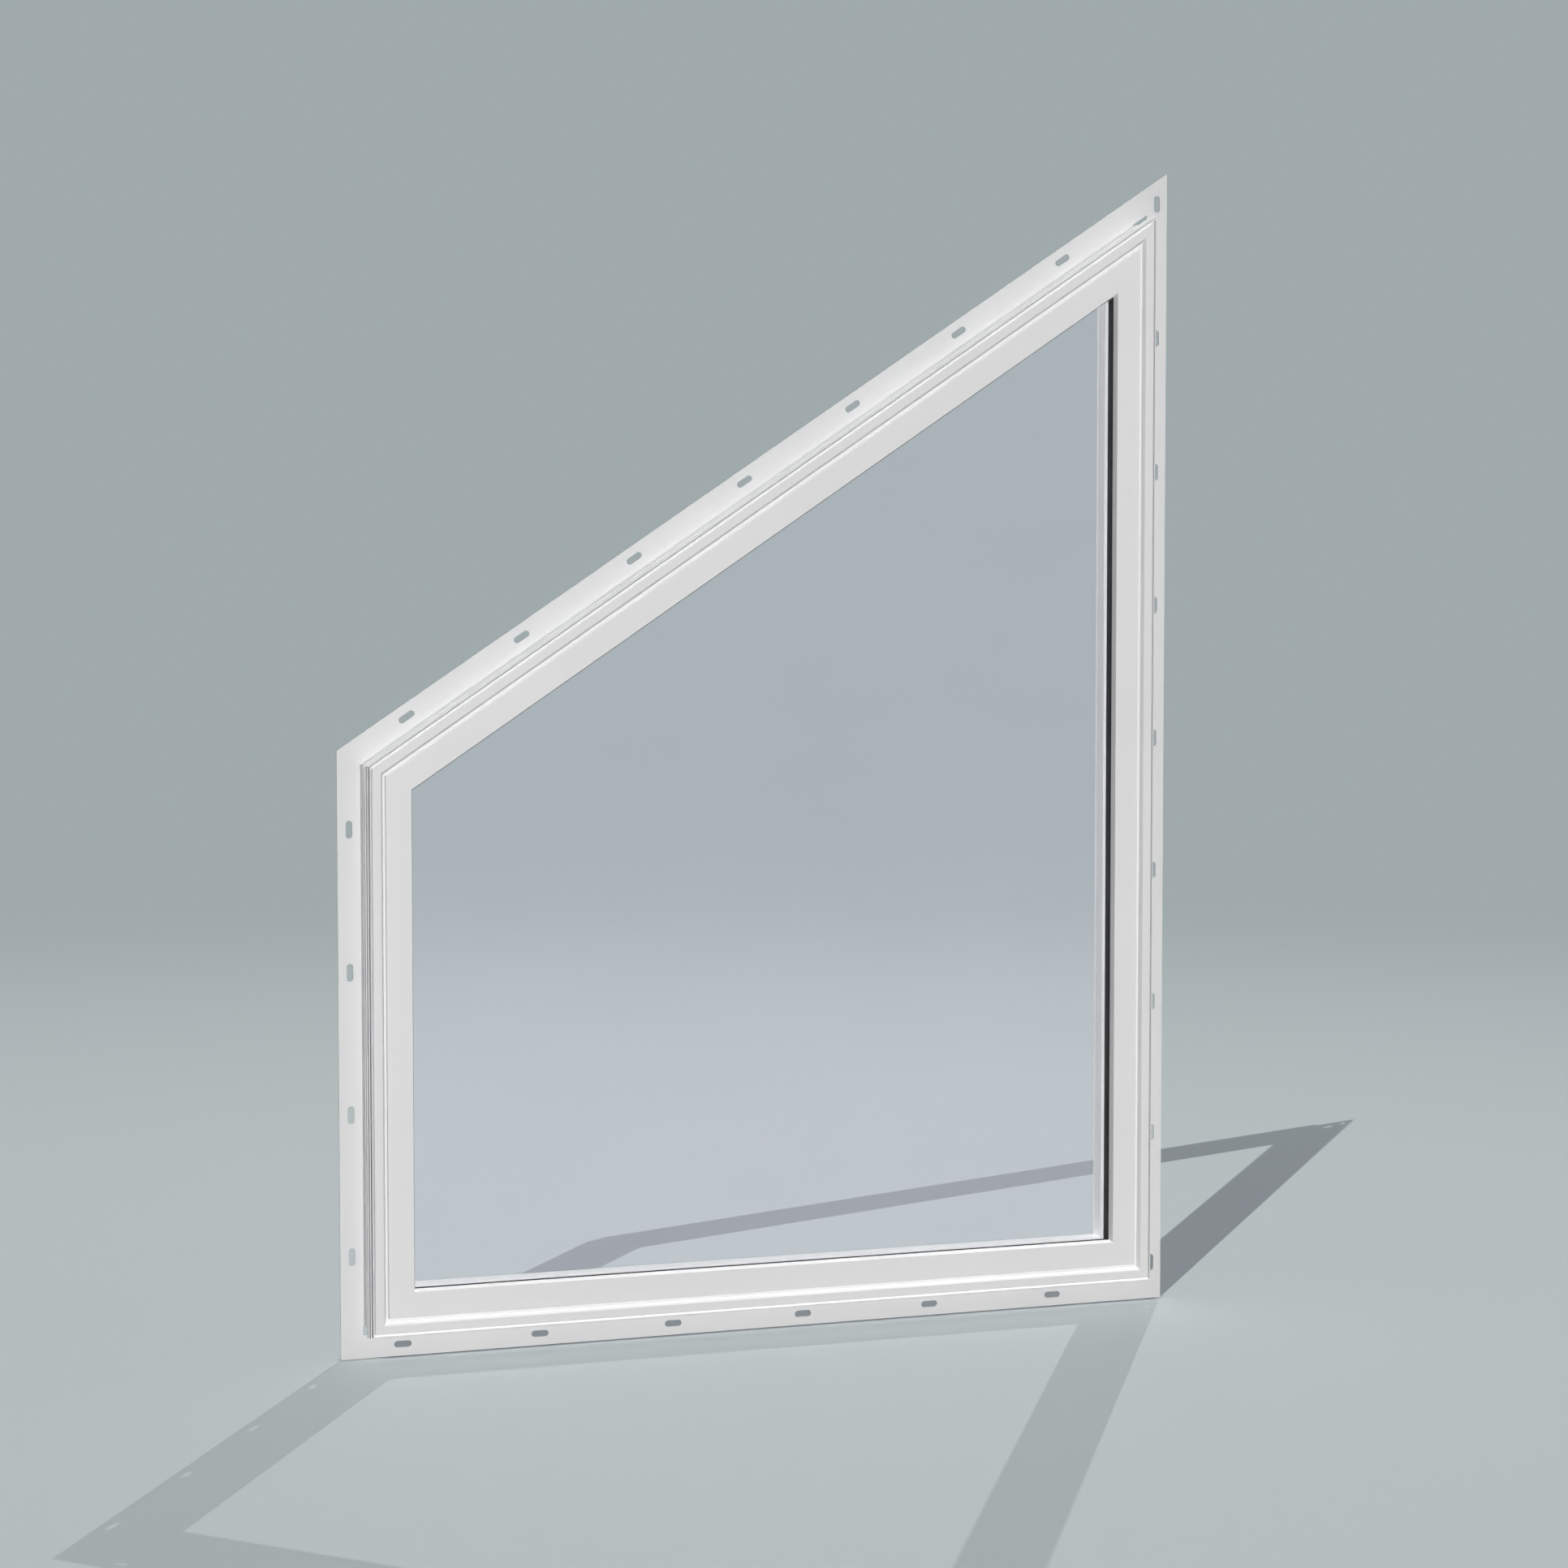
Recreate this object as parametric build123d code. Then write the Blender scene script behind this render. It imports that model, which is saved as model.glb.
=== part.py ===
from build123d import *
import math
import os

# A fixed trapezoid window with a nail fin. Millimetres, +Z up, +X to the right seen from
# outside, -Y towards the outside. The origin is on the back face of the nail fin, at the
# middle of the sill, level with the frame's outer wall.

# Overall size, over the frame's outer wall
frame_width = 914.4
left_height = 609.6
right_height = 1219.2

# Nail fin: a flat flange with a leg that lies along the frame's outer wall
fin_width = 26.2
head_fin_width = 27.4
fin_thickness = 1.6
fin_leg_height = 13.2
fin_leg_proud = 1.2
fin_leg_top_proud = 0.8
fin_leg_inside = 1.0

# Nail slots along the fin
slot_pitch = 152.4
slot_length = 19.2
slot_width = 7.1
slot_edge_distance = 12.7
slot_end_margin = 24.0
first_slot_sill = 67.5
first_slot_right = 41.9
first_slot_head = 82.5
first_slot_left = 83.7

# Openings at the fin's root, where the left strip meets the sill and the head strip the
# right jamb
left_notch_length = 11.0
head_notch_length = 22.0
notch_proud = 0.8
notch_past_leg = 1.0

# Frame profile: distances inward from the outer wall and forward of the fin's front face
frame_depth = 66.7
frame_setback = 10.0
lip_front = 32.1
face_front = 31.55
band_proud = 0.4
ledge_forward = 19.5
ledge_width = 0.8
second_ledge_forward = 27.5
second_ledge_width = 1.1
kerf_width = 0.4
kerf_depth = 3.0
lip_width = 1.2
lip_edge_chamfer = 0.4
groove_width = 1.65
groove_depth = 8.0
face_width = 9.15
face_edge_width = 0.8
face_edge_drop = 0.65
bevel_width = 2.3
bevel_drop = 5.3
channel_width = 2.7
inner_leg_width = 20.0
inner_leg_thickness = 6.5

# Sash profile
sash_clearance = 0.4
sash_front = 28.0
sash_width = 27.6
sash_edge_chamfer = 0.5
stop_slant = 2.4
stop_thickness = 7.4
pocket_depth = 16.1

# Insulated glass unit and what holds it
pane_thickness = 3.0
glass_cavity = 16.0
exterior_seal_thickness = 1.0
exterior_seal_inset = 0.6
edge_clearance = 3.7
spacer_width = 12.1
seal_edge_inset = 0.8
interior_seal_thickness = 3.5
interior_seal_width = 8.4
setting_block_length = 100.0
setting_block_share = 0.25
bead_past_sash = 0.7
bead_chamfer = 1.0

# Places worked out from the sizes above
back_forward = lip_front - frame_depth
ledge_inner = ledge_width - band_proud
kerf_outer = ledge_inner + second_ledge_width
lip_outer = kerf_outer + kerf_width
groove_outer = lip_outer + lip_width
groove_inner = groove_outer + groove_width
face_inner = groove_inner + face_width
bevel_outer = face_inner + face_edge_width
bevel_inner = bevel_outer + bevel_width
frame_inner = bevel_inner + channel_width
sash_outer = frame_inner + sash_clearance
sash_inner = sash_outer + sash_width
stop_back = sash_front - stop_thickness
pocket_floor = sash_inner - pocket_depth
sash_back = back_forward + inner_leg_thickness
glass_edge = pocket_floor + edge_clearance
exterior_glass = stop_back - exterior_seal_thickness
cavity_front = exterior_glass - pane_thickness
cavity_back = cavity_front - glass_cavity
interior_glass = cavity_back - pane_thickness
bead_front = interior_glass - interior_seal_thickness
bead_inner = sash_inner + bead_past_sash

# Room past the pieces for the cuts through them
cut_reach = 40.0
inner_reach = 60.0
run_reach = 120.0
cut_front = 70.0
cut_back = -70.0
punch_reach = 3.2

# Corners of the outer wall seen from outside, from the lower left, anticlockwise
corners = [
    (-frame_width / 2, 0.0),
    (frame_width / 2, 0.0),
    (frame_width / 2, right_height),
    (-frame_width / 2, left_height),
]
sill, right, head, left = range(4)
fin_widths = {sill: fin_width, right: fin_width, head: head_fin_width, left: fin_width}


def direction(side):
    # Unit vector along a side, from its first corner to the next
    (ax, az), (bx, bz) = corners[side], corners[(side + 1) % 4]
    length = math.hypot(bx - ax, bz - az)
    return (bx - ax) / length, (bz - az) / length


def inward(side):
    # Unit vector into the window, square to a side
    ex, ez = direction(side)
    return -ez, ex


def corner(number, before, after):
    # Where the two sides that meet at a corner cross, once each is moved inward
    earlier, later = (number - 1) % 4, number
    (cx, cz), (ux, uz), (vx, vz) = corners[number], inward(earlier), inward(later)
    cross = ux * vz - uz * vx
    return (
        cx + (before * vz - after * uz) / cross,
        cz + (after * ux - before * vx) / cross,
    )


def outline(distance):
    # The trapezoid at one distance inward of the outer wall
    return [corner(number, distance, distance) for number in range(4)]


def slab(points, front, back):
    # A flat piece of the given outline, between two distances forward of the fin
    plane = Plane(origin=(0, -fin_thickness - front, 0), x_dir=(1, 0, 0), z_dir=(0, -1, 0))
    face = make_face(plane * Polyline(*points, close=True))
    return extrude(face, amount=front - back, dir=(0, 1, 0))


def run_of(profile, side):
    # A profile drawn as (inward, forward), drawn out along a side and past both its ends
    (ax, az), (bx, bz) = corners[side], corners[(side + 1) % 4]
    ex, ez = direction(side)
    nx, nz = inward(side)
    plane = Plane(
        origin=(ax - ex * run_reach, -fin_thickness, az - ez * run_reach),
        x_dir=(nx, 0, nz),
        z_dir=(ex, 0, ez),
    )
    face = make_face(plane * Polyline(*profile, close=True))
    length = math.hypot(bx - ax, bz - az) + 2 * run_reach
    return extrude(face, amount=length, dir=(ex, 0, ez))


def mitred(profile, side, outer=None, inner=inner_reach):
    # A side's piece of a profile, cut at both ends on the line that halves the corner
    following = (side + 1) % 4
    if outer is None:
        outer = {number: -cut_reach for number in range(4)}
    wedge = [
        corner(side, outer[(side - 1) % 4], outer[side]),
        corner(following, outer[side], outer[following]),
        corner(following, inner, inner),
        corner(side, inner, inner),
    ]
    return run_of(profile, side) & slab(wedge, cut_front, cut_back)


def frame_profile():
    # Outer wall with two small ledges, kerf, siding lip and groove, front face with an eased
    # edge, bevel, channel, and the leg behind the sash
    bevel_front = face_front - face_edge_drop
    channel_front = bevel_front - bevel_drop
    return [
        (frame_setback, back_forward),
        (frame_setback, fin_leg_height),
        (-band_proud, fin_leg_height),
        (-band_proud, ledge_forward),
        (ledge_inner, ledge_forward),
        (ledge_inner, second_ledge_forward),
        (kerf_outer, second_ledge_forward),
        (kerf_outer, second_ledge_forward - kerf_depth),
        (lip_outer, second_ledge_forward - kerf_depth),
        (lip_outer, lip_front - lip_edge_chamfer),
        (lip_outer + lip_edge_chamfer, lip_front),
        (groove_outer - lip_edge_chamfer, lip_front),
        (groove_outer, lip_front - lip_edge_chamfer),
        (groove_outer, face_front - groove_depth),
        (groove_inner, face_front - groove_depth),
        (groove_inner, face_front),
        (face_inner, face_front),
        (bevel_outer, bevel_front),
        (bevel_inner, channel_front),
        (frame_inner, channel_front),
        (frame_inner, sash_back),
        (frame_setback + inner_leg_width, sash_back),
        (frame_setback + inner_leg_width, back_forward),
    ]


def fin_profile(width):
    # Flange under the frame's front body, and the leg that closes its side
    return [
        (-width, -fin_thickness),
        (frame_setback, -fin_thickness),
        (frame_setback, 0),
        (fin_leg_inside, 0),
        (fin_leg_inside, fin_leg_height),
        (-fin_leg_top_proud, fin_leg_height),
        (-fin_leg_proud, 0),
        (-width, 0),
    ]


def sash_profile():
    # Front face, slanted stop over the glass edge, glass pocket and bead seat
    return [
        (sash_outer, sash_back),
        (sash_outer, sash_front - sash_edge_chamfer),
        (sash_outer + sash_edge_chamfer, sash_front),
        (sash_inner, sash_front),
        (sash_inner + stop_slant, stop_back),
        (pocket_floor, stop_back),
        (pocket_floor, sash_back),
    ]


def bead_profile():
    # Bar that holds the glass from inside
    return [
        (pocket_floor, sash_back),
        (pocket_floor, bead_front),
        (bead_inner, bead_front),
        (bead_inner, sash_back + bead_chamfer),
        (bead_inner - bead_chamfer, sash_back),
    ]


def bar(outer, inner, front, back):
    # A plain rectangular profile
    return [(outer, front), (inner, front), (inner, back), (outer, back)]


def fin_corners():
    # Outer corners of the whole fin
    offsets = {side: -fin_widths[side] for side in range(4)}
    return [corner(number, offsets[(number - 1) % 4], offsets[number]) for number in range(4)]


def slot_distances(side):
    # Distance of each slot from the first corner of its side of the fin
    points = fin_corners()
    (ax, az), (bx, bz) = points[side], points[(side + 1) % 4]
    length = math.hypot(bx - ax, bz - az)
    first = {
        sill: first_slot_sill,
        right: first_slot_right,
        head: first_slot_head,
        left: first_slot_left,
    }[side]
    count = int((length - slot_end_margin - first) / slot_pitch) + 1
    distances = [first + number * slot_pitch for number in range(count)]
    if side == head:
        distances = [length - distance for distance in distances]
    return distances


def nail_slot(side, distance):
    # A round-ended slot through the fin, its length along the side
    ax, az = fin_corners()[side]
    ex, ez = direction(side)
    nx, nz = inward(side)
    x = ax + ex * distance + nx * slot_edge_distance
    z = az + ez * distance + nz * slot_edge_distance
    plane = Plane(origin=(x, 0, z), x_dir=(ex, 0, ez), z_dir=(0, -1, 0))
    return extrude(plane * SlotOverall(slot_length, slot_width), amount=punch_reach, both=True)


def notch(side, at_end, length):
    # Opening through the fin's root and leg, from the next side's leg along this side
    number = (side + 1) % 4 if at_end else side
    ex, ez = direction(side)
    nx, nz = inward(side)
    sign = -1 if at_end else 1
    proud = fin_leg_proud + notch_proud
    if at_end:
        near = corner(number, -proud, -fin_leg_proud)
        deep = corner(number, frame_setback, -fin_leg_proud)
    else:
        near = corner(number, -fin_leg_proud, -proud)
        deep = corner(number, -fin_leg_proud, frame_setback)
    far = (near[0] + sign * ex * length, near[1] + sign * ez * length)
    depth = proud + frame_setback
    far_deep = (far[0] + nx * depth, far[1] + nz * depth)
    return slab([near, far, far_deep, deep], fin_leg_height + notch_past_leg, cut_back)


def frame_member(side):
    return mitred(frame_profile(), side)


def fin_strip(side):
    # One side of the fin with its nail slots
    outer = {number: -fin_widths[number] for number in range(4)}
    strip = mitred(fin_profile(fin_widths[side]), side, outer, frame_setback)
    for other in range(4):
        for distance in slot_distances(other):
            strip -= nail_slot(other, distance)
    if side in (left, sill):
        strip -= notch(left, True, left_notch_length)
    if side in (head, right):
        strip -= notch(head, False, head_notch_length)
    return strip


def sash_member(side):
    return mitred(sash_profile(), side)


def bead_member(side):
    return mitred(bead_profile(), side)


def spacer_member(side):
    # Dark bar that keeps the panes apart
    return mitred(bar(glass_edge, glass_edge + spacer_width, cavity_front, cavity_back), side)


def exterior_seal(side):
    # Tape between the stop and the outer pane
    inner = sash_inner + stop_slant - exterior_seal_inset
    return mitred(bar(glass_edge + seal_edge_inset, inner, stop_back, exterior_glass), side)


def interior_seal(side):
    # Seal between the inner pane and the bead
    outer = glass_edge + seal_edge_inset
    profile = bar(outer, outer + interior_seal_width, interior_glass, bead_front)
    return mitred(profile, side)


def pane(front):
    return slab(outline(glass_edge), front, front - pane_thickness)


def setting_block(share):
    # Block under the glass, at a share of the glass unit's width from its left edge
    points = outline(glass_edge)
    (ax, az), (bx, bz) = points[0], points[1]
    middle = ax + (bx - ax) * share
    low, high = middle - setting_block_length / 2, middle + setting_block_length / 2
    floor = az - edge_clearance
    return slab([(low, floor), (high, floor), (high, az), (low, az)], exterior_glass, interior_glass)


frame_names = {sill: "frame_sill", right: "frame_right_jamb", head: "frame_head", left: "frame_left_jamb"}
fin_names = {side: "nail_fin_" + word for side, word in enumerate(["sill", "right", "head", "left"])}
sash_names = {
    sill: "sash_bottom_rail",
    right: "sash_right_stile",
    head: "sash_top_rail",
    left: "sash_left_stile",
}
glass_sides = {sill: "bottom", right: "right", head: "top", left: "left"}

nodes = {}
for side in range(4):
    nodes[frame_names[side]] = frame_member(side)
    nodes[fin_names[side]] = fin_strip(side)
    nodes[sash_names[side]] = sash_member(side)
    nodes["glazing_bead_" + glass_sides[side]] = bead_member(side)
    nodes["spacer_" + glass_sides[side]] = spacer_member(side)
    nodes["exterior_seal_" + glass_sides[side]] = exterior_seal(side)
    nodes["interior_seal_" + glass_sides[side]] = interior_seal(side)
nodes["exterior_pane"] = pane(exterior_glass)
nodes["interior_pane"] = pane(cavity_back)
nodes["setting_block_left"] = setting_block(setting_block_share)
nodes["setting_block_right"] = setting_block(1 - setting_block_share)

os.makedirs("parts", exist_ok=True)
for name, shape in nodes.items():
    export_step(shape, "parts/" + name + ".step")
    print(name, round(shape.volume), len(shape.solids()))
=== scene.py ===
import math
import bmesh
import bpy
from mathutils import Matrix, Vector


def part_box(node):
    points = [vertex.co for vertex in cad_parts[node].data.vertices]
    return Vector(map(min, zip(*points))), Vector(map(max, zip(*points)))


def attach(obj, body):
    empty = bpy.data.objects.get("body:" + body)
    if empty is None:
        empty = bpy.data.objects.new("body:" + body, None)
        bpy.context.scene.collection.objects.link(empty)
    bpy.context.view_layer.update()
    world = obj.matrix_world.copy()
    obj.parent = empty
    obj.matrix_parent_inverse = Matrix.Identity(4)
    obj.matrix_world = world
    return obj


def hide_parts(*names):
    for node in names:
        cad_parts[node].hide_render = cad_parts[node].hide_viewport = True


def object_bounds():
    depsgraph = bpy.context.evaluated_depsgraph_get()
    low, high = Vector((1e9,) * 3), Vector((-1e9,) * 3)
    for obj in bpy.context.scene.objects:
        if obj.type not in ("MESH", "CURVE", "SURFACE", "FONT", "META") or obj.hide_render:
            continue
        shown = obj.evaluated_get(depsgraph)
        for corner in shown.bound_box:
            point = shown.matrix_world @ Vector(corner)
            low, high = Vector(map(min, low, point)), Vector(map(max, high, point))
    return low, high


# Looks, studio and camera for a fixed trapezoid window with a nail fin.
# Metres, +Z up, the outside faces -Y.

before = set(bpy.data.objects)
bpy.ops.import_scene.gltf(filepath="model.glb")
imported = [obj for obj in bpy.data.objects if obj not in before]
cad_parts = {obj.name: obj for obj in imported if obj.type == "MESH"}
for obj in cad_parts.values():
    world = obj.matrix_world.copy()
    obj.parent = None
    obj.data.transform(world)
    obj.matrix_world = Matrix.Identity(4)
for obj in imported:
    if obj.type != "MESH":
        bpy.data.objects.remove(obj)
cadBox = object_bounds()
scene = bpy.context.scene
mm = 0.001


# Sides of the trapezoid, each from its first corner to the next, anticlockwise from outside

jambLeft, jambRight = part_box("frame_left_jamb"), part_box("frame_right_jamb")
wallCorners = [
    Vector((jambLeft[0].x, 0, 0)),
    Vector((jambRight[1].x, 0, 0)),
    Vector((jambRight[1].x, 0, jambRight[1].z)),
    Vector((jambLeft[0].x, 0, jambLeft[1].z)),
]
sideNames = ["sill", "right", "head", "left"]


def sideFrame(side):
    # Corner, unit vectors along and inward, and length of a side of the outer wall
    start, end = wallCorners[side], wallCorners[(side + 1) % 4]
    along = (end - start).normalized()
    inward = Vector((-along.z, 0, along.x))
    return start, along, inward, (end - start).length


def mitreVector(corner):
    # How far the corner moves when both its sides move inward by one
    inwardBefore, inwardAfter = sideFrame((corner - 1) % 4)[2], sideFrame(corner)[2]
    return (inwardBefore + inwardAfter) / (1 + inwardBefore.dot(inwardAfter))


def cleanMesh(node):
    # A merged copy of a CAD node's loose triangles
    mesh = bmesh.new()
    mesh.from_mesh(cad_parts[node].data)
    bmesh.ops.remove_doubles(mesh, verts=mesh.verts, dist=0.005 * mm)
    return mesh


def sectionLoop(node, side):
    # The member's section at the middle of its side, as points (inward, forward)
    start, along, inward, length = sideFrame(side)
    mesh = cleanMesh(node)
    cut = bmesh.ops.bisect_plane(
        mesh,
        geom=mesh.verts[:] + mesh.edges[:] + mesh.faces[:],
        dist=0.001 * mm,
        plane_co=start + along * length / 2,
        plane_no=along,
    )["geom_cut"]
    edges = {item for item in cut if isinstance(item, bmesh.types.BMEdge)}
    first = next(iter(edges)).verts[0]
    loop, edge = [first], next(item for item in first.link_edges if item in edges)
    while True:
        point = edge.other_vert(loop[-1])
        if point is first:
            break
        loop.append(point)
        edge = next(item for item in point.link_edges if item in edges and item is not edge)
    flat = [((point.co - start).dot(inward), -point.co.y) for point in loop]
    mesh.free()
    return cornersOnly(flat)


def cornersOnly(points, tolerance=0.002 * mm):
    # The loop without the points that lie on a straight run
    kept = []
    for number, (x, y) in enumerate(points):
        ax, ay = points[number - 1]
        bx, by = points[(number + 1) % len(points)]
        across = abs((bx - ax) * (y - ay) - (by - ay) * (x - ax)) / math.hypot(bx - ax, by - ay)
        if across > tolerance:
            kept.append((x, y))
    return kept


# Small helpers for node trees

def addNode(tree, kind, **settings):
    node = tree.nodes.new(kind)
    for key, value in settings.items():
        setattr(node, key, value)
    return node


def plug(tree, source, socket):
    # Links an output, or writes a plain value
    if isinstance(source, bpy.types.NodeSocket):
        tree.links.new(source, socket)
    else:
        socket.default_value = source


def maths(tree, operation, first, second=0.0):
    node = addNode(tree, "ShaderNodeMath", operation=operation)
    plug(tree, first, node.inputs[0])
    plug(tree, second, node.inputs[1])
    return node.outputs[0]


def vectorMaths(tree, operation, first, second=None, scale=None):
    node = addNode(tree, "ShaderNodeVectorMath", operation=operation)
    plug(tree, first, node.inputs[0])
    if second is not None:
        plug(tree, second, node.inputs[1])
    if scale is not None:
        plug(tree, scale, node.inputs["Scale"])
    return node.outputs[0]


# Geometry Nodes: a member drawn out of its section along one side and cut to its two mitres

def buildMitredMember():
    tree = bpy.data.node_groups.new("mitredMember", "GeometryNodeTree")
    sizes = [
        ("Section", "NodeSocketGeometry"),
        ("Side Length", "NodeSocketFloat"),
        ("Start Slope", "NodeSocketFloat"),
        ("End Slope", "NodeSocketFloat"),
        ("Joint Gap", "NodeSocketFloat"),
        ("Edge Radius", "NodeSocketFloat"),
        ("Edge Points", "NodeSocketInt"),
        ("Corner", "NodeSocketVector"),
        ("Along", "NodeSocketVector"),
        ("Inward", "NodeSocketVector"),
        ("Finish", "NodeSocketMaterial"),
    ]
    for name, kind in sizes:
        tree.interface.new_socket(name, in_out="INPUT", socket_type=kind)
    tree.interface.new_socket("Member", in_out="OUTPUT", socket_type="NodeSocketGeometry")
    given = tree.nodes.new("NodeGroupInput").outputs

    # The section with its edges rounded, filled and drawn out
    outline = addNode(tree, "GeometryNodeMeshToCurve")
    plug(tree, given["Section"], outline.inputs["Mesh"])
    rounded = addNode(tree, "GeometryNodeFilletCurve", mode="POLY")
    plug(tree, outline.outputs[0], rounded.inputs["Curve"])
    plug(tree, given["Edge Points"], rounded.inputs["Count"])
    plug(tree, given["Edge Radius"], rounded.inputs["Radius"])
    rounded.inputs["Limit Radius"].default_value = True
    filled = addNode(tree, "GeometryNodeFillCurve", mode="NGONS")
    plug(tree, rounded.outputs[0], filled.inputs["Curve"])
    drawn = addNode(tree, "GeometryNodeExtrudeMesh", mode="FACES")
    plug(tree, filled.outputs[0], drawn.inputs["Mesh"])
    plug(tree, (0.0, 0.0, 1.0), drawn.inputs["Offset"])
    plug(tree, given["Side Length"], drawn.inputs["Offset Scale"])
    drawn.inputs["Individual"].default_value = False
    foot = addNode(tree, "GeometryNodeFlipFaces")
    plug(tree, filled.outputs[0], foot.inputs["Mesh"])
    joined = addNode(tree, "GeometryNodeJoinGeometry")
    tree.links.new(foot.outputs[0], joined.inputs[0])
    tree.links.new(drawn.outputs["Mesh"], joined.inputs[0])
    closed = addNode(tree, "GeometryNodeMergeByDistance")
    plug(tree, joined.outputs[0], closed.inputs["Geometry"])
    plug(tree, 0.0005 * mm, closed.inputs["Distance"])

    # Both ends sheared to the mitres
    place = addNode(tree, "ShaderNodeSeparateXYZ")
    plug(tree, addNode(tree, "GeometryNodeInputPosition").outputs[0], place.inputs[0])
    share = maths(tree, "DIVIDE", place.outputs["Z"], given["Side Length"])
    startCut = maths(tree, "MULTIPLY", place.outputs["X"], given["Start Slope"])
    endCut = maths(tree, "MULTIPLY", place.outputs["X"], given["End Slope"])
    endCut = maths(tree, "ADD", endCut, given["Side Length"])
    startPlace = maths(tree, "ADD", startCut, given["Joint Gap"])
    endPlace = maths(tree, "SUBTRACT", endCut, given["Joint Gap"])
    stretch = maths(tree, "MULTIPLY", maths(tree, "SUBTRACT", endPlace, startPlace), share)
    reach = maths(tree, "ADD", startPlace, stretch)

    # Place along the member and in its section, and distance to both mitres, for the finish
    space = addNode(tree, "ShaderNodeCombineXYZ")
    plug(tree, reach, space.inputs[0])
    plug(tree, place.outputs["X"], space.inputs[1])
    plug(tree, place.outputs["Y"], space.inputs[2])
    toMitres = addNode(tree, "ShaderNodeCombineXYZ")
    plug(tree, maths(tree, "SUBTRACT", reach, startCut), toMitres.inputs[0])
    plug(tree, maths(tree, "SUBTRACT", endCut, reach), toMitres.inputs[1])
    geometry = closed.outputs[0]
    for name, value in (("memberSpace", space.outputs[0]), ("mitreReach", toMitres.outputs[0])):
        store = addNode(tree, "GeometryNodeStoreNamedAttribute", data_type="FLOAT_VECTOR", domain="POINT")
        plug(tree, geometry, store.inputs["Geometry"])
        plug(tree, name, store.inputs["Name"])
        plug(tree, value, store.inputs["Value"])
        geometry = store.outputs[0]

    # From the section's space to the window's
    target = vectorMaths(tree, "SCALE", given["Along"], scale=reach)
    sideways = vectorMaths(tree, "SCALE", given["Inward"], scale=place.outputs["X"])
    forward = vectorMaths(tree, "SCALE", (0.0, -1.0, 0.0), scale=place.outputs["Y"])
    target = vectorMaths(tree, "ADD", target, sideways)
    target = vectorMaths(tree, "ADD", target, forward)
    target = vectorMaths(tree, "ADD", target, given["Corner"])
    moved = addNode(tree, "GeometryNodeSetPosition")
    plug(tree, geometry, moved.inputs["Geometry"])
    plug(tree, target, moved.inputs["Position"])
    real = addNode(tree, "GeometryNodeRealizeInstances")
    plug(tree, moved.outputs[0], real.inputs["Geometry"])
    finished = addNode(tree, "GeometryNodeSetMaterial")
    plug(tree, real.outputs[0], finished.inputs["Geometry"])
    plug(tree, given["Finish"], finished.inputs["Material"])
    plug(tree, finished.outputs[0], tree.nodes.new("NodeGroupOutput").inputs["Member"])
    return tree


def setInputs(modifier, **values):
    # Sets the tree's named inputs by their sockets' identifiers
    sockets = {item.name: item.identifier for item in modifier.node_group.interface.items_tree}
    for name, value in values.items():
        modifier[sockets[name]] = value


def plainMesh(piece, name):
    # The evaluated piece as a plain mesh at the origin
    depsgraph = bpy.context.evaluated_depsgraph_get()
    mesh = bpy.data.meshes.new_from_object(piece.evaluated_get(depsgraph))
    source = piece.data
    bpy.data.objects.remove(piece)
    bpy.data.meshes.remove(source)
    mesh.name = name
    result = bpy.data.objects.new(name, mesh)
    scene.collection.objects.link(result)
    return result


def standFor(piece, node):
    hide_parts(node)
    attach(piece, "root")


# Materials

def newMaterial(name):
    material = bpy.data.materials.new(name)
    material.use_nodes = True
    return material, material.node_tree, material.node_tree.nodes["Principled BSDF"]


def noiseOn(tree, vector, scale, stretch=(1, 1, 1), detail=3.0, roughness=0.5):
    # Noise over a vector that is stretched first
    mapping = addNode(tree, "ShaderNodeMapping")
    plug(tree, vector, mapping.inputs["Vector"])
    mapping.inputs["Scale"].default_value = stretch
    noise = addNode(tree, "ShaderNodeTexNoise")
    plug(tree, mapping.outputs[0], noise.inputs["Vector"])
    noise.inputs["Scale"].default_value = scale
    noise.inputs["Detail"].default_value = detail
    noise.inputs["Roughness"].default_value = roughness
    return noise.outputs["Fac"]


def remap(tree, value, low, high, newLow, newHigh, smooth=False):
    node = addNode(tree, "ShaderNodeMapRange", interpolation_type="SMOOTHSTEP" if smooth else "LINEAR")
    plug(tree, value, node.inputs["Value"])
    for name, number in zip(("From Min", "From Max", "To Min", "To Max"), (low, high, newLow, newHigh)):
        plug(tree, number, node.inputs[name])
    return node.outputs["Result"]


def shadeOf(tree, share, darker, lighter):
    # A colour between two close shades
    ramp = addNode(tree, "ShaderNodeValToRGB")
    plug(tree, share, ramp.inputs[0])
    ramp.color_ramp.elements[0].position, ramp.color_ramp.elements[1].position = 0.3, 0.7
    ramp.color_ramp.elements[0].color = (*darker, 1)
    ramp.color_ramp.elements[1].color = (*lighter, 1)
    return ramp.outputs[0]


def bumpOf(tree, height, depth, under=None):
    node = addNode(tree, "ShaderNodeBump")
    node.inputs["Distance"].default_value = depth
    node.inputs["Strength"].default_value = 1.0
    plug(tree, height, node.inputs["Height"])
    if under is not None:
        plug(tree, under, node.inputs["Normal"])
    return node.outputs[0]


vinylFinish = {
    "darker": (0.785, 0.785, 0.787),
    "lighter": (0.81, 0.81, 0.81),
    "smoothest": 0.36,
    "roughest": 0.47,
    "drawLinesPerMetre": 900,
    "drawLineDepth": 0.0025 * mm,
    "grainPerMetre": 1500,
    "grainDepth": 0.003 * mm,
    "weldWidth": 1.3 * mm,
    "weldDepth": 0.05 * mm,
    # Where the painted shade of the kerf lies, and its dark colour standing in for shade
    "kerfInward": (1.85 * mm, 2.35 * mm),
    "kerfForward": (25 * mm, 29 * mm),
    "kerfPaintedShade": (0.045, 0.045, 0.047),
}


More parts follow.
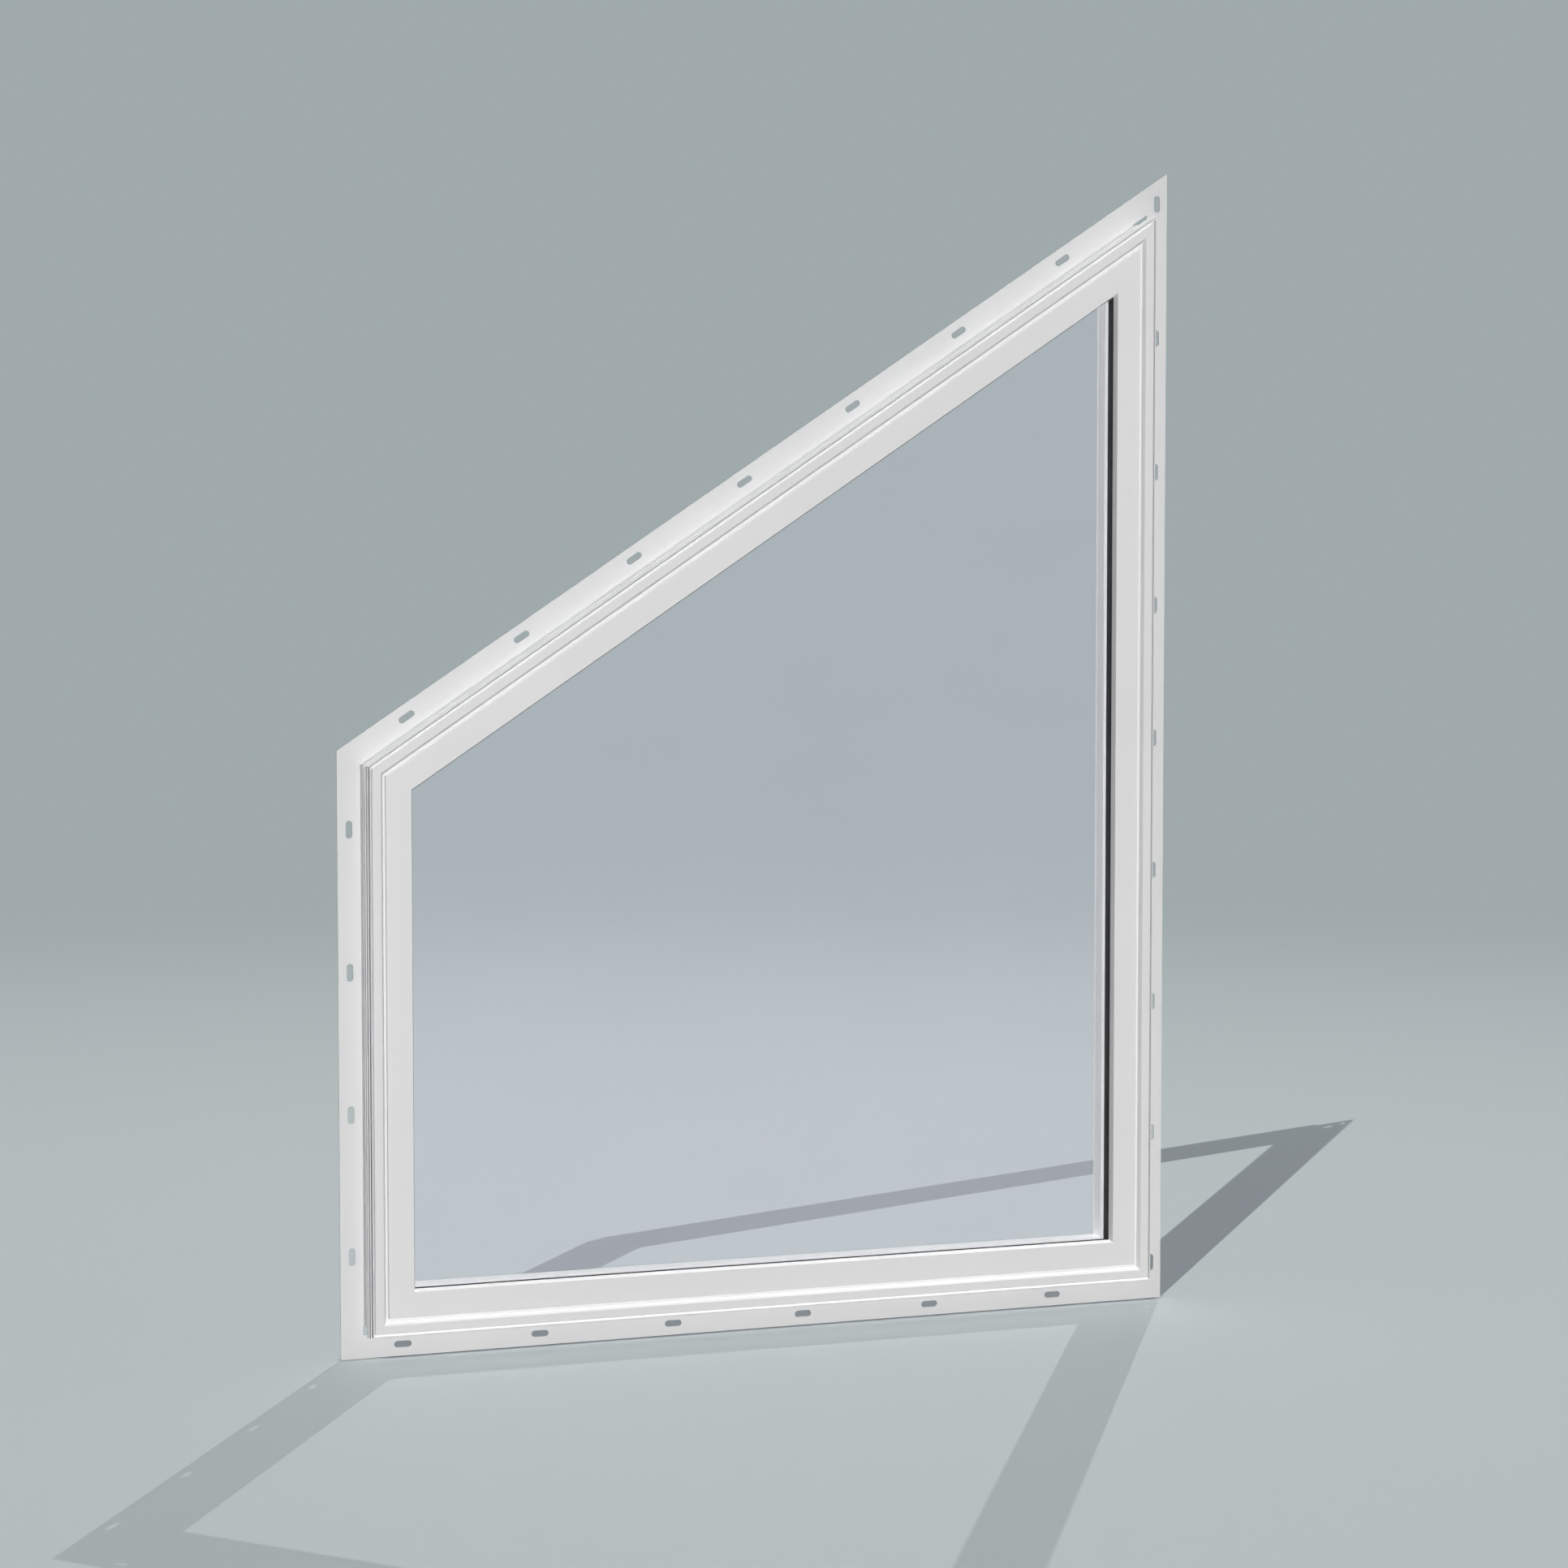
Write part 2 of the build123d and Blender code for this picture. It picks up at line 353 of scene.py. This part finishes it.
def within(tree, value, limits):
    # One between the two limits, else nothing
    above = maths(tree, "GREATER_THAN", value, limits[0])
    below = maths(tree, "LESS_THAN", value, limits[1])
    return maths(tree, "MULTIPLY", above, below)


def mixColours(tree, share, first, second):
    node = addNode(tree, "ShaderNodeMix", data_type="RGBA")
    colours = [socket for socket in node.inputs if socket.type == "RGBA"]
    plug(tree, share, node.inputs["Factor"])
    for socket, colour in zip(colours, (first, second)):
        plug(tree, (*colour, 1) if isinstance(colour, tuple) else colour, socket)
    return next(socket for socket in node.outputs if socket.type == "RGBA")


def vinylMaterial(name, welded):
    # Extruded white vinyl: fine lines along the draw and a soft grain. The welded members have a scraped
    # line at each weld, and painted shade in and beside the kerf, where shade would fall.
    material, tree, shader = newMaterial(name)
    space = addNode(tree, "ShaderNodeAttribute", attribute_name="memberSpace").outputs["Vector"]
    place = addNode(tree, "ShaderNodeTexCoord").outputs["Object"]
    look = vinylFinish
    drawn = noiseOn(tree, space, look["drawLinesPerMetre"], stretch=(0.004, 1, 1), detail=4)
    grain = noiseOn(tree, place, look["grainPerMetre"], detail=2)
    cloudy = noiseOn(tree, place, 7, detail=3)
    colour = shadeOf(tree, cloudy, look["darker"], look["lighter"])
    roughness = remap(tree, drawn, 0.3, 0.7, look["smoothest"], look["roughest"])
    normal = bumpOf(tree, drawn, look["drawLineDepth"])
    normal = bumpOf(tree, grain, look["grainDepth"], normal)
    if welded:
        reach = addNode(tree, "ShaderNodeAttribute", attribute_name="mitreReach").outputs["Vector"]
        ends = addNode(tree, "ShaderNodeSeparateXYZ")
        plug(tree, reach, ends.inputs[0])
        nearest = maths(tree, "MINIMUM", ends.outputs["X"], ends.outputs["Y"])
        scraped = remap(tree, nearest, 0.0, look["weldWidth"], 1.0, 0.0, smooth=True)
        roughness = maths(tree, "ADD", roughness, maths(tree, "MULTIPLY", scraped, 0.12))
        normal = bumpOf(tree, maths(tree, "SUBTRACT", 1.0, scraped), look["weldDepth"], normal)
        # Painted shade: the kerf and the lip wall beside it are darkened where shade falls
        parts = addNode(tree, "ShaderNodeSeparateXYZ")
        plug(tree, space, parts.inputs[0])
        inKerfPaintedShade = within(tree, parts.outputs["Y"], look["kerfInward"])
        inKerfPaintedShade = maths(tree, "MULTIPLY", inKerfPaintedShade, within(tree, parts.outputs["Z"], look["kerfForward"]))
        colour = mixColours(tree, inKerfPaintedShade, colour, look["kerfPaintedShade"])
    plug(tree, colour, shader.inputs["Base Color"])
    plug(tree, roughness, shader.inputs["Roughness"])
    plug(tree, normal, shader.inputs["Normal"])
    shader.inputs["IOR"].default_value = 1.46
    return material


spacerFinish = {
    "darker": (0.012, 0.0125, 0.0135),
    "lighter": (0.022, 0.0225, 0.024),
    "cellsPerMetre": 2600,
    "cellDepth": 0.05 * mm,
}


def spacerMaterial():
    # Matt black foam with open cells
    material, tree, shader = newMaterial("spacerFoam")
    place = addNode(tree, "ShaderNodeTexCoord").outputs["Object"]
    look = spacerFinish
    cells = addNode(tree, "ShaderNodeTexVoronoi", feature="F1")
    plug(tree, place, cells.inputs["Vector"])
    cells.inputs["Scale"].default_value = look["cellsPerMetre"]
    patchy = noiseOn(tree, place, 260, detail=4)
    plug(tree, shadeOf(tree, patchy, look["darker"], look["lighter"]), shader.inputs["Base Color"])
    plug(tree, remap(tree, patchy, 0.3, 0.7, 0.86, 0.97), shader.inputs["Roughness"])
    plug(tree, bumpOf(tree, cells.outputs["Distance"], look["cellDepth"]), shader.inputs["Normal"])
    shader.inputs["Specular IOR Level"].default_value = 0.15
    return material


sealFinish = {
    "darker": (0.017, 0.017, 0.018),
    "lighter": (0.03, 0.03, 0.031),
    "grainPerMetre": 1300,
    "grainDepth": 0.02 * mm,
}


def sealMaterial():
    # Black glazing tape, faintly drawn along its run
    material, tree, shader = newMaterial("glazingTape")
    space = addNode(tree, "ShaderNodeAttribute", attribute_name="memberSpace").outputs["Vector"]
    look = sealFinish
    drawn = noiseOn(tree, space, look["grainPerMetre"], stretch=(0.06, 1, 1), detail=3)
    plug(tree, shadeOf(tree, drawn, look["darker"], look["lighter"]), shader.inputs["Base Color"])
    plug(tree, remap(tree, drawn, 0.3, 0.7, 0.62, 0.8), shader.inputs["Roughness"])
    plug(tree, bumpOf(tree, drawn, look["grainDepth"]), shader.inputs["Normal"])
    shader.inputs["Specular IOR Level"].default_value = 0.3
    return material


blockFinish = {
    "darker": (0.05, 0.05, 0.052),
    "lighter": (0.085, 0.085, 0.088),
    "grainPerMetre": 900,
    "grainDepth": 0.04 * mm,
}


def blockMaterial():
    # Dark grey rubber with a dusty grain
    material, tree, shader = newMaterial("settingBlockRubber")
    place = addNode(tree, "ShaderNodeTexCoord").outputs["Object"]
    look = blockFinish
    grain = noiseOn(tree, place, look["grainPerMetre"], detail=5)
    dust = noiseOn(tree, place, 60, detail=3)
    plug(tree, shadeOf(tree, dust, look["darker"], look["lighter"]), shader.inputs["Base Color"])
    plug(tree, remap(tree, grain, 0.3, 0.7, 0.7, 0.9), shader.inputs["Roughness"])
    plug(tree, bumpOf(tree, grain, look["grainDepth"]), shader.inputs["Normal"])
    return material


def glassMaterial(name, look):
    # Float glass with a slight roller wave; lamps shine through it
    material, tree, shader = newMaterial(name)
    place = addNode(tree, "ShaderNodeTexCoord").outputs["Object"]
    wave = noiseOn(tree, place, 5, stretch=(1, 1, 2.2), detail=1)
    plug(tree, shadeOf(tree, wave, look["tintLow"], look["tintHigh"]), shader.inputs["Base Color"])
    film = noiseOn(tree, place, 40, detail=4)
    plug(tree, remap(tree, film, 0.45, 0.85, 0.0, look["filmRoughness"]), shader.inputs["Roughness"])
    plug(tree, bumpOf(tree, wave, look["waveDepth"]), shader.inputs["Normal"])
    shader.inputs["IOR"].default_value = look["refraction"]
    shader.inputs["Transmission Weight"].default_value = 1.0
    rays = addNode(tree, "ShaderNodeLightPath")
    passed = maths(tree, "MAXIMUM", rays.outputs["Is Shadow Ray"], rays.outputs["Is Diffuse Ray"])
    clear = addNode(tree, "ShaderNodeBsdfTransparent")
    mix = addNode(tree, "ShaderNodeMixShader")
    plug(tree, passed, mix.inputs[0])
    tree.links.new(shader.outputs[0], mix.inputs[1])
    tree.links.new(clear.outputs[0], mix.inputs[2])
    tree.links.new(mix.outputs[0], tree.nodes["Material Output"].inputs[0])
    return material


outerGlass = {
    "tintLow": (0.985, 0.99, 0.99),
    "tintHigh": (0.99, 0.995, 0.995),
    "refraction": 1.3,
    "filmRoughness": 0.004,
    "waveDepth": 0.002 * mm,
}
innerGlass = {
    "tintLow": (0.955, 0.965, 0.985),
    "tintHigh": (0.965, 0.975, 0.995),
    "refraction": 2.1,
    "filmRoughness": 0.004,
    "waveDepth": 0.002 * mm,
}

frameVinyl = vinylMaterial("frameVinyl", True)
beadVinyl = vinylMaterial("beadVinyl", False)
finVinyl = vinylMaterial("finVinyl", False)
spacerFoam = spacerMaterial()
glazingTape = sealMaterial()
blockRubber = blockMaterial()
outerPane = glassMaterial("outerPaneGlass", outerGlass)
innerPane = glassMaterial("innerPaneGlass", innerGlass)
print("materials made")


# The mitred members, four of each kind

memberKinds = {
    "frame": {
        "nodes": ["frame_sill", "frame_right_jamb", "frame_head", "frame_left_jamb"],
        "slot": "white_vinyl",
        "finish": frameVinyl,
        "edgeRadius": 0.3 * mm,
        "edgePoints": 3,
        "jointGap": 0.0,
    },
    "sash": {
        "nodes": ["sash_bottom_rail", "sash_right_stile", "sash_top_rail", "sash_left_stile"],
        "slot": "white_vinyl",
        "finish": frameVinyl,
        "edgeRadius": 0.35 * mm,
        "edgePoints": 3,
        "jointGap": 0.0,
    },
    "glazingBead": {
        "nodes": ["glazing_bead_" + word for word in ("bottom", "right", "top", "left")],
        "slot": "white_vinyl",
        "finish": beadVinyl,
        "edgeRadius": 0.3 * mm,
        "edgePoints": 3,
        "jointGap": 0.1 * mm,
    },
    "spacer": {
        "nodes": ["spacer_" + word for word in ("bottom", "right", "top", "left")],
        "slot": "black_spacer",
        "finish": spacerFoam,
        "edgeRadius": 0.4 * mm,
        "edgePoints": 3,
        "jointGap": 0.0,
    },
    "exteriorSeal": {
        "nodes": ["exterior_seal_" + word for word in ("bottom", "right", "top", "left")],
        "slot": "black_seal",
        "finish": glazingTape,
        "edgeRadius": 0.25 * mm,
        "edgePoints": 3,
        "jointGap": 0.0,
    },
    "interiorSeal": {
        "nodes": ["interior_seal_" + word for word in ("bottom", "right", "top", "left")],
        "slot": "black_seal",
        "finish": glazingTape,
        "edgeRadius": 0.5 * mm,
        "edgePoints": 3,
        "jointGap": 0.0,
    },
}
mitredMember = buildMitredMember()


def makeMember(kind, look, side):
    # One member: its section as a loop of edges, drawn out and cut by the tree
    name = kind + sideNames[side].capitalize()
    points = sectionLoop(look["nodes"][side], side)
    mesh = bpy.data.meshes.new(name + "Section")
    edges = [(number, (number + 1) % len(points)) for number in range(len(points))]
    mesh.from_pydata([(x, y, 0) for x, y in points], edges, [])
    section = bpy.data.objects.new(name + "Section", mesh)
    scene.collection.objects.link(section)
    start, along, inward, length = sideFrame(side)
    modifier = section.modifiers.new("mitredMember", "NODES")
    modifier.node_group = mitredMember
    setInputs(
        modifier,
        **{
            "Side Length": length,
            "Start Slope": mitreVector(side).dot(along),
            "End Slope": mitreVector((side + 1) % 4).dot(along),
            "Joint Gap": look["jointGap"],
            "Edge Radius": look["edgeRadius"],
            "Edge Points": look["edgePoints"],
            "Corner": start,
            "Along": along,
            "Inward": inward,
            "Finish": look["finish"],
        },
    )
    piece = plainMesh(section, name)
    standFor(piece, look["nodes"][side])
    return piece


for kind, look in memberKinds.items():
    made = [makeMember(kind, look, side) for side in range(4)]
    print(kind, "members made,", sum(len(piece.data.polygons) for piece in made), "faces")


# The nail fin: its four strips, with the edges of the flange, leg and slots eased

finStrips = {
    "nodes": ["nail_fin_" + word for word in sideNames],
    "edgeWidth": 0.2 * mm,
    "edgeSegments": 2,
    "sharpFrom": 40,
    "mitreTolerance": 0.1 * mm,
    "innerEdge": 10 * mm,
}


def onLine(point, first, second, tolerance):
    run = (second - first).normalized()
    offset = point - first
    return (offset - run * offset.dot(run)).length < tolerance


def makeFinStrip(side):
    look = finStrips
    name = "nailFin" + sideNames[side].capitalize()
    start, along, inward, length = sideFrame(side)
    mesh = cleanMesh(look["nodes"][side])
    flat = [Vector((vert.co.x, 0, vert.co.z)) for vert in mesh.verts]
    outermost = min((point - start).dot(inward) for point in flat)
    rim = [point for point in flat if (point - start).dot(inward) < outermost + look["mitreTolerance"]]
    rim.sort(key=lambda point: point.dot(along))
    mitres = []
    for number, outer in ((side, rim[0]), ((side + 1) % 4, rim[-1])):
        inner = wallCorners[number] + mitreVector(number) * look["innerEdge"]
        mitres.append((outer, inner))
    bmesh.ops.dissolve_limit(
        mesh, angle_limit=math.radians(1), verts=mesh.verts[:], edges=mesh.edges[:], delimit={"NORMAL"}
    )
    weights = mesh.edges.layers.float.new("bevel_weight_edge")
    for edge in mesh.edges:
        ends = [Vector((vert.co.x, 0, vert.co.z)) for vert in edge.verts]
        inMitre = any(all(onLine(end, *mitre, look["mitreTolerance"]) for end in ends) for mitre in mitres)
        sharp = edge.is_manifold and math.degrees(edge.calc_face_angle()) > look["sharpFrom"]
        edge[weights] = 1.0 if sharp and not inMitre else 0.0
    data = bpy.data.meshes.new(name + "Strip")
    mesh.to_mesh(data)
    mesh.free()
    space = data.attributes.new("memberSpace", "FLOAT_VECTOR", "POINT")
    for number, vert in enumerate(data.vertices):
        offset = vert.co - start
        space.data[number].vector = (offset.dot(along), offset.dot(inward), -vert.co.y)
    strip = bpy.data.objects.new(name + "Strip", data)
    scene.collection.objects.link(strip)
    strip.data.materials.append(finVinyl)
    bevel = strip.modifiers.new("easedEdges", "BEVEL")
    bevel.limit_method = "WEIGHT"
    bevel.width = look["edgeWidth"]
    bevel.segments = look["edgeSegments"]
    bevel.use_clamp_overlap = True
    piece = plainMesh(strip, name)
    standFor(piece, look["nodes"][side])
    return piece


for side in range(4):
    piece = makeFinStrip(side)
    print(piece.name, "made,", len(piece.data.polygons), "faces")


# The panes and setting blocks stay the CAD nodes

for node, material in (
    ("exterior_pane", outerPane),
    ("interior_pane", innerPane),
    ("setting_block_left", blockRubber),
    ("setting_block_right", blockRubber),
):
    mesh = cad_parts[node].data
    mesh.materials.clear()
    mesh.materials.append(material)


# Floor and backdrop in one: a pale floor that fades into the far background

studio = {
    "floorRadius": 60,
    "floorColour": (0.59, 0.65, 0.65),
    "floorRoughness": 0.8,
    "fadeFrom": 0.9,
    "fadeTo": 5.4,
    "contactReach": 12 * mm,
    "contactShade": (0.09, 0.1, 0.11),
    "fill": (0.148, 0.152, 0.18),  # even light on the floor, which the shadows keep
    "bounce": (0.05, 0.05, 0.05),  # what the window gets back from the floor
    "background": (0.352, 0.402, 0.413),
    "frontFar": (0.63, 0.665, 0.73),  # what the glass reflects of the room before the window
    "frontNear": (0.785, 0.78, 0.88),
    "nearUpTo": 3.0,
    "farFrom": 8.0,
    "ambient": 0.05,
}


def mixShaders(tree, share, first, second):
    node = addNode(tree, "ShaderNodeMixShader")
    plug(tree, share, node.inputs[0])
    tree.links.new(first.outputs[0], node.inputs[1])
    tree.links.new(second.outputs[0], node.inputs[2])
    return node


def makeFloor():
    look = studio
    bpy.ops.mesh.primitive_circle_add(
        vertices=96, radius=look["floorRadius"], fill_type="NGON", location=(0, 0, cadBox[0].z)
    )
    floor = bpy.context.object
    floor.name = "studioFloor"
    material, tree, shader = newMaterial("paleFloor")
    contact = addNode(tree, "ShaderNodeAmbientOcclusion")
    contact.inputs["Distance"].default_value = look["contactReach"]
    uncovered = remap(tree, contact.outputs["AO"], 0.4, 0.95, 0.0, 1.0)
    colour = mixColours(tree, uncovered, look["contactShade"], look["floorColour"])
    plug(tree, colour, shader.inputs["Base Color"])
    evenly = addNode(tree, "ShaderNodeVectorMath", operation="MULTIPLY")
    plug(tree, colour, evenly.inputs[0])
    evenly.inputs[1].default_value = look["fill"]
    plug(tree, evenly.outputs[0], shader.inputs["Emission Color"])
    shader.inputs["Emission Strength"].default_value = 1
    shader.inputs["Roughness"].default_value = look["floorRoughness"]
    shader.inputs["Specular IOR Level"].default_value = 0.2
    place = addNode(tree, "ShaderNodeTexCoord").outputs["Object"]
    distance = addNode(tree, "ShaderNodeVectorMath", operation="LENGTH")
    plug(tree, place, distance.inputs[0])
    away = distance.outputs["Value"]
    fade = remap(tree, away, look["fadeFrom"], look["fadeTo"], 0.0, 1.0, smooth=True)
    far = addNode(tree, "ShaderNodeEmission")
    far.inputs["Color"].default_value = (*look["background"], 1)
    shown = mixShaders(tree, fade, shader, far)
    aim = addNode(tree, "ShaderNodeSeparateXYZ")
    plug(tree, place, aim.inputs[0])
    inFront = remap(tree, aim.outputs["Y"], 0.1, -0.1, 0.0, 1.0)
    reflected = addNode(tree, "ShaderNodeEmission")
    room = remap(tree, away, look["nearUpTo"], look["farFrom"], 0.0, 1.0, smooth=True)
    tree.links.new(mixColours(tree, room, look["frontNear"], look["frontFar"]), reflected.inputs["Color"])
    rays = addNode(tree, "ShaderNodeLightPath")
    share = maths(tree, "MULTIPLY", rays.outputs["Is Glossy Ray"], inFront)
    result = mixShaders(tree, share, shown, reflected)
    returned = addNode(tree, "ShaderNodeEmission")
    returned.inputs["Color"].default_value = (*look["bounce"], 1)
    result = mixShaders(tree, rays.outputs["Is Diffuse Ray"], result, returned)
    tree.links.new(result.outputs[0], tree.nodes["Material Output"].inputs[0])
    floor.data.materials.append(material)
    return floor


def makeWorld():
    # The camera, reflections and glass see the background; the object sees soft white
    look = studio
    world = bpy.data.worlds.new("studio")
    world.use_nodes = True
    scene.world = world
    tree = world.node_tree
    soft = tree.nodes["Background"]
    soft.inputs["Color"].default_value = (1, 1, 1, 1)
    soft.inputs["Strength"].default_value = look["ambient"]
    aim = addNode(tree, "ShaderNodeSeparateXYZ")
    plug(tree, addNode(tree, "ShaderNodeTexCoord").outputs["Generated"], aim.inputs[0])
    behind = remap(tree, aim.outputs["Y"], -0.25, 0.25, 0.0, 1.0, smooth=True)
    seen = addNode(tree, "ShaderNodeBackground")
    seen.inputs["Color"].default_value = (*look["background"], 1)
    reflected = addNode(tree, "ShaderNodeBackground")
    tree.links.new(mixColours(tree, behind, look["frontFar"], look["background"]), reflected.inputs["Color"])
    rays = addNode(tree, "ShaderNodeLightPath")
    straight = maths(tree, "MAXIMUM", rays.outputs["Is Camera Ray"], rays.outputs["Is Transmission Ray"])
    shown = mixShaders(tree, straight, soft, seen)
    shown = mixShaders(tree, rays.outputs["Is Glossy Ray"], shown, reflected)
    tree.links.new(shown.outputs[0], tree.nodes["World Output"].inputs[0])


# Lamps: the strength is the light that a white surface square to the lamp gives back. Those on
# the window are large and soft and cast no shadows, and those on the floor cast them.

lamps = {
    "frameFront": {"on": "frame", "towards": (-0.15, -0.98, 0.08), "strength": 0.73, "angle": 30},
    "finFront": {"on": "fin", "towards": (-0.15, -0.98, 0.08), "strength": 0.665, "angle": 30},
    "beadSide": {"on": "bead", "towards": (-0.72, -0.36, 0.6), "strength": 0.87, "angle": 30},
    "windowOverhead": {"on": "window", "towards": (0.05, -0.1, 0.99), "strength": 0.41, "angle": 30},
    "windowRear": {"on": "window", "towards": (0.389, 0.651, 0.652), "strength": 0.28, "angle": 30},
    "floorKey": {"on": "floor", "towards": (-0.456, -0.576, 0.679), "strength": 0.6, "angle": 0.2},
    "floorRear": {"on": "floor", "towards": (0.389, 0.651, 0.652), "strength": 0.22, "angle": 0.2},
}
tints = {"floorKey": (1, 1, 0.95)}
casting = ("floorKey", "floorRear")


def litGroups(floor):
    # What each lamp may light, as collections for light linking
    pieces = [item for item in scene.objects if item.type == "MESH" and item is not floor]
    fin = [item for item in pieces if item.name.startswith("nailFin")]
    chosen = {
        "floor": [floor],
        "window": pieces,
        "fin": fin,
        "frame": [item for item in pieces if item not in fin],
        "bead": [item for item in pieces if item.name.startswith("glazingBead")],
    }
    groups = {}
    for name, members in chosen.items():
        groups[name] = bpy.data.collections.new(name + "Lit")
        for item in members:
            groups[name].objects.link(item)
    return groups


def makeLamps(floor):
    groups = litGroups(floor)
    for name, look in lamps.items():
        data = bpy.data.lights.new(name, "SUN")
        data.energy = look["strength"] * math.pi
        data.angle = math.radians(look["angle"])
        data.use_shadow = name in casting
        # Lamps without shadows are sampled as lamps only
        data.cycles.use_multiple_importance_sampling = name in casting
        data.color = tints.get(name, (1, 1, 1))
        lamp = bpy.data.objects.new(name, data)
        scene.collection.objects.link(lamp)
        lamp.rotation_euler = Vector(look["towards"]).to_track_quat("Z", "Y").to_euler()
        lamp.location = Vector(look["towards"]) * 4
        lamp.light_linking.receiver_collection = groups[look["on"]]


def makeCamera():
    data = bpy.data.cameras.new("photoView")
    data.lens = 77.48
    data.sensor_width = 36
    camera = bpy.data.objects.new("photoView", data)
    scene.collection.objects.link(camera)
    camera.location = (-1.2366, -3.5158, 0.7907)
    camera.rotation_euler = (math.radians(86.778), 0, math.radians(-19.658))
    scene.camera = camera


studioFloor = makeFloor()
makeWorld()
makeLamps(studioFloor)
makeCamera()
scene.view_settings.view_transform = "Standard"
print("studio made")
